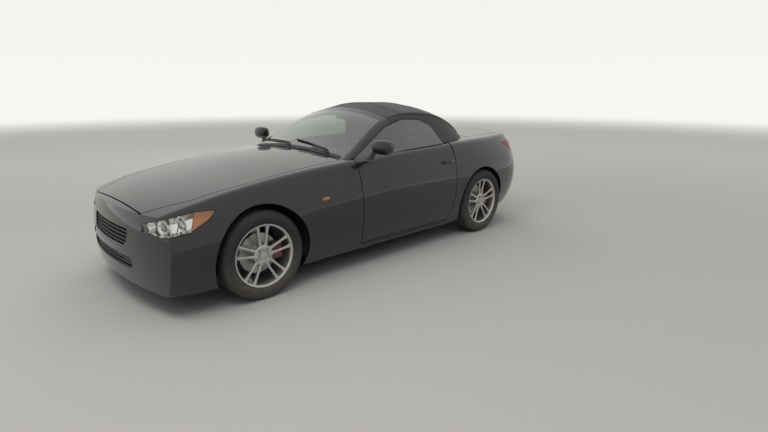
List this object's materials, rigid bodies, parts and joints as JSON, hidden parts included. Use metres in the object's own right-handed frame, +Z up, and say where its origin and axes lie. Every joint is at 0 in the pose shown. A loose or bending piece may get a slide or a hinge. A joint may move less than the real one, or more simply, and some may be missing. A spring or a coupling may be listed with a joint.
{
  "type": "roadster",
  "caption": "Long-bonnet two-seat roadster with a closed fabric roof; doors, bonnet, boot lid, steering and wheels move.",
  "frame": {"origin": "on the ground, below the middle of the car's length and width", "axes": "+X to the car's left, -Y to the front, +Z up"},
  "size_m": [2.02, 4.09, 1.3028],
  "materials": {
    "paint": "gloss clear coat, near black with a faint green",
    "frame_metal": "satin black primer",
    "underbody": "matt underseal",
    "black_plastic": "fine grain",
    "lamp_clear": "clear polycarbonate",
    "lamp_red": "red polycarbonate",
    "window": "lightly green tinted",
    "roof_cloth": "tight woven cloth",
    "leather": "fine grain",
    "trim": "soft touch",
    "engine_metal": "cast",
    "steel": "satin",
    "cast": "as cast",
    "alloy": "silver lacquer",
    "tyre": "matt"
  },
  "bodies": {
    "body": {"front_bumper": "paint", "front_fenders": "paint", "body_sides": "paint", "rear_deck": "paint", "rear_bumper": "paint", "windscreen_frame": "paint", "grille": "black_plastic", "firewall": "paint", "floor_pan": "underbody", "front_frame": "frame_metal", "rear_frame": "frame_metal", "arch_liners": "black_plastic", "headlamps": "lamp_clear", "tail_lamps": "lamp_red", "windscreen": "window", "rear_window": "window", "soft_top": "roof_cloth", "seats": "leather", "dashboard": "trim", "console": "trim", "engine_block": "engine_metal", "front_suspension": "steel", "rear_axle": "cast", "exhaust": "steel", "hinge_pins": "steel"},
    "bonnet": {"bonnet": "paint"},
    "boot_lid": {"boot_lid": "paint"},
    "door_left": {"door_left": "paint", "door_glass_left": "window", "mirror_left": "paint"},
    "door_right": {"door_right": "paint", "door_glass_right": "window", "mirror_right": "paint"},
    "steering_wheel": {"steering_wheel": "leather"},
    "knuckle_left": {"knuckle_left": "cast"},
    "knuckle_right": {"knuckle_right": "cast"},
    "wheel_front_left": {"tyre_front_left": "tyre", "rim_front_left": "alloy", "disc_front_left": "steel"},
    "wheel_front_right": {"tyre_front_right": "tyre", "rim_front_right": "alloy", "disc_front_right": "steel"},
    "wheel_rear_left": {"tyre_rear_left": "tyre", "rim_rear_left": "alloy", "disc_rear_left": "steel"},
    "wheel_rear_right": {"tyre_rear_right": "tyre", "rim_rear_right": "alloy", "disc_rear_right": "steel"}
  },
  "joints": [
    {"name": "bonnet_hinge", "type": "hinge", "parent": "body", "child": "bonnet", "pos_m": [0, -0.488, 0.908], "axis": [-1, 0, 0], "range_deg": [0, 50]},
    {"name": "boot_hinge", "type": "hinge", "parent": "body", "child": "boot_lid", "pos_m": [0, 1.263, 0.958], "axis": [1, 0, 0], "range_deg": [0, 55]},
    {"name": "door_left_hinge", "type": "hinge", "parent": "body", "child": "door_left", "pos_m": [0.87, -0.3983, 0.55], "axis": [0, 0, -1], "range_deg": [0, 65]},
    {"name": "door_right_hinge", "type": "hinge", "parent": "body", "child": "door_right", "pos_m": [-0.87, -0.3983, 0.55], "axis": [0, 0, 1], "range_deg": [0, 65]},
    {"name": "steering", "type": "hinge", "parent": "body", "child": "steering_wheel", "pos_m": [0.36, 0, 0.8], "axis": [0, 0.9063, 0.4226], "range_deg": [-480, 480]},
    {"name": "steer_left", "type": "hinge", "parent": "body", "child": "knuckle_left", "pos_m": [0.68, -1.289, 0.317], "axis": [0, 0, 1], "range_deg": [-33, 33]},
    {"name": "steer_right", "type": "hinge", "parent": "body", "child": "knuckle_right", "pos_m": [-0.68, -1.289, 0.317], "axis": [0, 0, 1], "range_deg": [-33, 33]},
    {"name": "spin_front_left", "type": "hinge", "parent": "knuckle_left", "child": "wheel_front_left", "pos_m": [0.7365, -1.289, 0.317], "axis": [1, 0, 0], "continuous": true},
    {"name": "spin_front_right", "type": "hinge", "parent": "knuckle_right", "child": "wheel_front_right", "pos_m": [-0.7365, -1.289, 0.317], "axis": [1, 0, 0], "continuous": true},
    {"name": "spin_rear_left", "type": "hinge", "parent": "body", "child": "wheel_rear_left", "pos_m": [0.7615, 1.206, 0.317], "axis": [1, 0, 0], "continuous": true},
    {"name": "spin_rear_right", "type": "hinge", "parent": "body", "child": "wheel_rear_right", "pos_m": [-0.7615, 1.206, 0.317], "axis": [1, 0, 0], "continuous": true}
  ],
  "couplings": [
    {"joint": "steer_right", "follows": "steer_left", "ratio": 1},
    {"joint": "steering", "follows": "steer_left", "ratio": 14.5}
  ]
}
